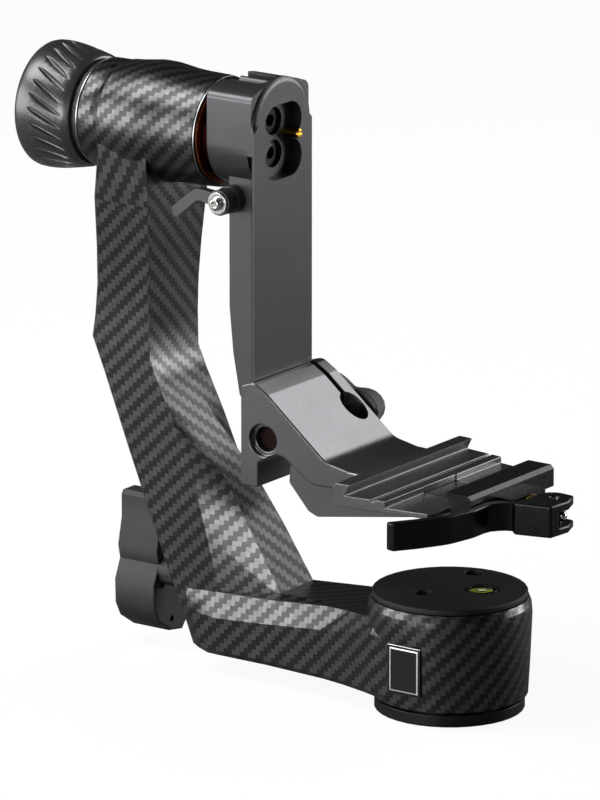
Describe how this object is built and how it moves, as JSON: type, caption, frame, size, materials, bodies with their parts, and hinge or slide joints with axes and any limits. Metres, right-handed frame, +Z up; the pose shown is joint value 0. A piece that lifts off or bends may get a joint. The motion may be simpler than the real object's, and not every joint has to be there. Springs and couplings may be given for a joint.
{
  "type": "gimbal tripod head",
  "caption": "Side-mount gimbal head: carbon C-shaped arm panning on a foot, tilting swing arm with a sliding quick-release lens platform.",
  "frame": {"origin": "centre of the foot's underside, on the pan axis", "axes": "+Z up along the pan axis; +X along the tilt axis, from the tilt knob towards the swing arm and platform; +Y away from the side with the plain plate"},
  "size_m": [0.2447, 0.1054, 0.2367],
  "materials": {
    "carbon": "woven carbon, satin lacquer",
    "black_anodised": "matte black anodised",
    "forged_black": "satin dark grey anodised",
    "bare_aluminium": "turned",
    "steel": "turned",
    "chrome": "polished",
    "black_steel": "black oxide",
    "brass": "turned",
    "copper": "satin",
    "red_anodised": "dark red anodised",
    "knob_grey": "matte",
    "black_plastic": "matte",
    "level_fluid": "clear, yellow-green",
    "friction_fibre": "matte"
  },
  "bodies": {
    "foot": {"base_disc": "black_anodised", "thread_bush": "brass", "pan_spindle": "steel", "pan_nut": "steel"},
    "arm": {"carbon_arm": "carbon", "base_liner": "bare_aluminium", "pan_bearing_lower": "steel", "pan_bearing_upper": "steel", "base_cap": "black_anodised", "level_ring": "black_anodised", "bubble_level": "level_fluid", "badge_plate": "black_plastic", "brake_shoe": "brass", "tilt_liner": "bare_aluminium", "tilt_bearing_left": "steel", "tilt_bearing_right": "steel", "friction_disc": "friction_fibre", "seal_ring": "black_plastic", "tilt_sleeve": "copper", "tube_lip_left": "bare_aluminium", "tube_lip_right": "bare_aluminium"},
    "pan_knob": {"pan_knob": "knob_grey", "pan_rod": "steel"},
    "tilt_knob": {"tilt_knob": "black_anodised"},
    "swing_arm": {"swing_arm": "forged_black", "tilt_spindle": "red_anodised", "hub_screw_upper": "black_steel", "hub_screw_lower": "black_steel", "stop_pin": "brass", "pinch_nut": "steel"},
    "hub_lever": {"hub_lever": "black_anodised", "lever_washer": "chrome", "lever_screw": "chrome"},
    "platform": {"platform_bracket": "forged_black", "clamp_stud": "chrome", "lever_pin": "steel"},
    "platform_knob": {"platform_knob": "knob_grey", "bracket_screw": "red_anodised"},
    "jaw": {"movable_jaw": "black_anodised", "thrust_bush": "brass"},
    "clamp_lever": {"clamp_lever": "black_anodised"}
  },
  "joints": [
    {"name": "pan", "type": "hinge", "parent": "foot", "child": "arm", "pos_m": [0, 0, 0], "axis": [0, 0, 1], "continuous": true},
    {"name": "tilt", "type": "hinge", "parent": "arm", "child": "swing_arm", "pos_m": [-0.09, 0, 0.2117], "axis": [1, 0, 0], "continuous": true},
    {"name": "pan_lock", "type": "hinge", "parent": "arm", "child": "pan_knob", "pos_m": [-0.14, 0, 0.0315], "axis": [1, 0, 0], "range_deg": [0, 270]},
    {"name": "tilt_lock", "type": "hinge", "parent": "swing_arm", "child": "tilt_knob", "pos_m": [-0.178, 0, 0.2117], "axis": [1, 0, 0], "range_deg": [0, 270]},
    {"name": "hub_lever_turn", "type": "hinge", "parent": "swing_arm", "child": "hub_lever", "pos_m": [-0.0918, 0, 0.19], "axis": [0, 1, 0], "range_deg": [-70, 0]},
    {"name": "platform_slide", "type": "slide", "parent": "swing_arm", "child": "platform", "axis": [0, 0, 1], "range_m": [0, 0.055]},
    {"name": "platform_lock", "type": "hinge", "parent": "platform", "child": "platform_knob", "pos_m": [-0.0725, 0.03, 0.0986], "axis": [0, 1, 0], "range_deg": [0, 270]},
    {"name": "clamp_turn", "type": "hinge", "parent": "platform", "child": "clamp_lever", "pos_m": [0.0477, 0, 0.0842], "axis": [0, 0, 1], "range_deg": [0, 95]},
    {"name": "jaw_slide", "type": "slide", "parent": "platform", "child": "jaw", "axis": [1, 0, 0], "range_m": [0, 0.0012]}
  ],
  "couplings": [
    {"joint": "jaw_slide", "follows": "clamp_turn", "m_per_rad": 0.00066}
  ]
}
